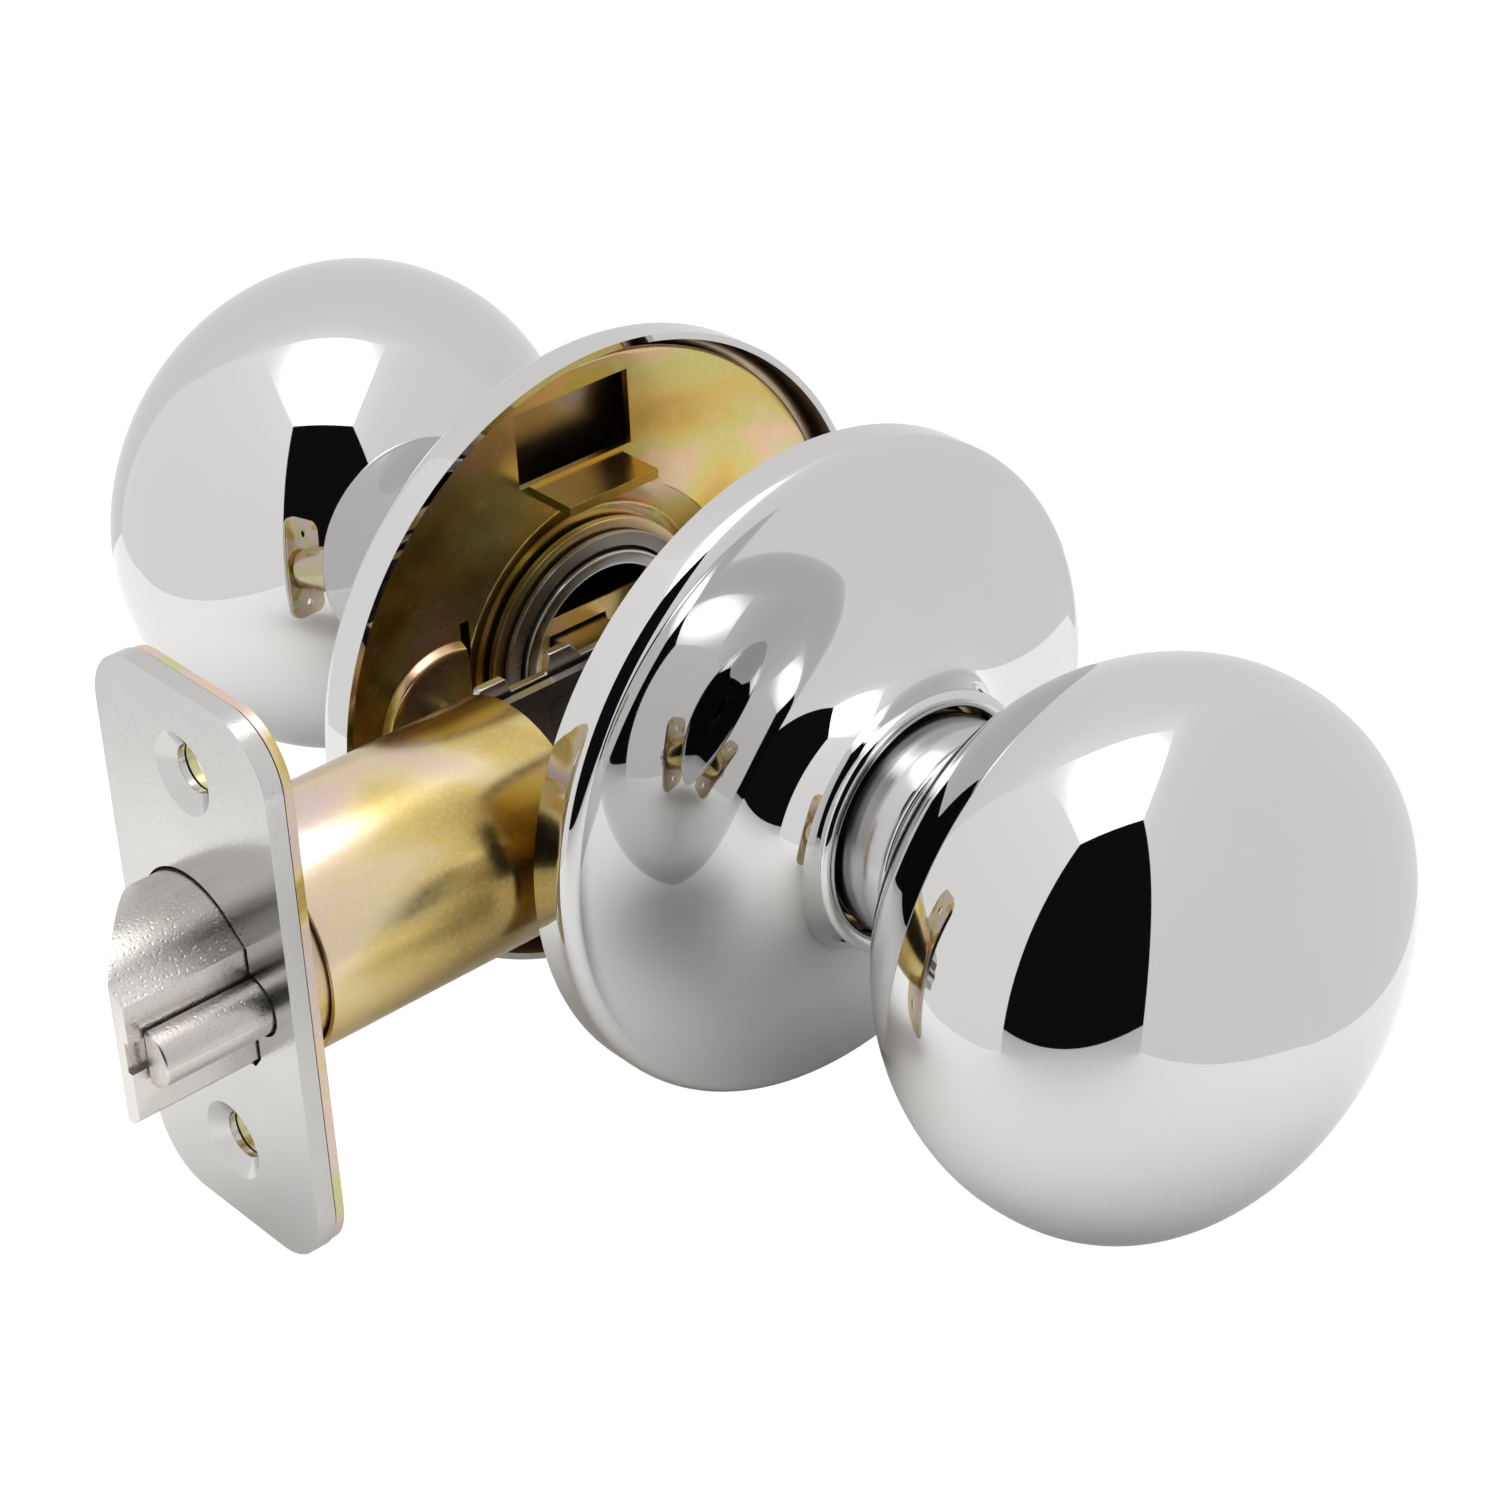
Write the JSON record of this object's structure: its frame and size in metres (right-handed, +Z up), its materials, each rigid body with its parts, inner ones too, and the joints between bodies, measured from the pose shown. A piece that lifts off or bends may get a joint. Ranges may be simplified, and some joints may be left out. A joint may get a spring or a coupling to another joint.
{
  "type": "door knob set",
  "caption": "Passage door knobs on round roses either side of a door gap, on one spindle, with a tubular latch, sprung bolt and deadlatch plunger.",
  "frame": {"origin": "centre of the spindle, on the knobs' turning axis, where it crosses the latch's centreline in the middle of the door", "axes": "+Y along the knobs' axis from the front knob to the rear knob, -X along the latch towards the door's edge, +Z up"},
  "size_m": [0.1064, 0.1538, 0.0666],
  "materials": {
    "bright_chrome": "polished plating",
    "satin_nickel": "satin",
    "dull_zinc": "dull zinc-plated sheet",
    "yellow_zinc": "yellow zinc plating",
    "faceplate_chrome": "polished plating",
    "bolt_chrome": "plated casting",
    "plain_steel": "bare pressed steel",
    "spring_steel": "bright wire"
  },
  "bodies": {
    "frame": {"backplate": "yellow_zinc", "backset_sleeve": "dull_zinc", "bolt_spring": "spring_steel", "case_plate_front": "dull_zinc", "case_plate_rear": "dull_zinc", "case_rivet_lower": "dull_zinc", "case_rivet_upper": "dull_zinc", "faceplate": "faceplate_chrome", "front_hub_bushing": "yellow_zinc", "front_mounting_plate": "dull_zinc", "front_return_spring": "spring_steel", "front_rose": "bright_chrome", "inner_tube": "yellow_zinc", "mounting_screw_far_side": "plain_steel", "mounting_screw_latch_side": "plain_steel", "rear_hub_bushing": "yellow_zinc", "rear_mounting_plate": "dull_zinc", "rear_return_spring": "spring_steel", "rear_rose": "bright_chrome", "spring_seat": "plain_steel", "threaded_post_far_side": "plain_steel", "threaded_post_latch_side": "plain_steel"},
    "knobs": {"front_drive_disc": "plain_steel", "front_knob_core": "satin_nickel", "front_knob_shell": "bright_chrome", "front_neck_ring": "bright_chrome", "front_retaining_ring": "plain_steel", "front_shank": "satin_nickel", "rear_drive_disc": "plain_steel", "rear_knob_core": "satin_nickel", "rear_knob_shell": "bright_chrome", "rear_neck_ring": "bright_chrome", "rear_retaining_ring": "plain_steel", "rear_shank": "satin_nickel", "spindle": "yellow_zinc", "hub_cam": "plain_steel"},
    "bolt": {"latch_bolt": "bolt_chrome", "drawbar": "plain_steel", "bolt_rivet": "plain_steel", "plunger_spring": "spring_steel"},
    "plunger": {"deadlatch_plunger": "bolt_chrome"}
  },
  "joints": [
    {"name": "knob_turn", "type": "hinge", "parent": "frame", "child": "knobs", "pos_m": [0, 0, 0], "axis": [0, 1, 0], "range_deg": [0, 60], "stiffness_Nm_per_rad": 0.2, "springref_deg": -17.19},
    {"name": "bolt_slide", "type": "slide", "parent": "frame", "child": "bolt", "axis": [1, 0, 0], "range_m": [0, 0.012], "deforming": ["bolt_spring"]},
    {"name": "plunger_slide", "type": "slide", "parent": "bolt", "child": "plunger", "axis": [1, 0, 0], "range_m": [0, 0.011], "stiffness_N_per_m": 120, "springref_m": -0.01, "deforming": ["plunger_spring"]}
  ],
  "couplings": [
    {"joint": "bolt_slide", "follows": "knob_turn", "m_per_rad": 0.011459}
  ]
}
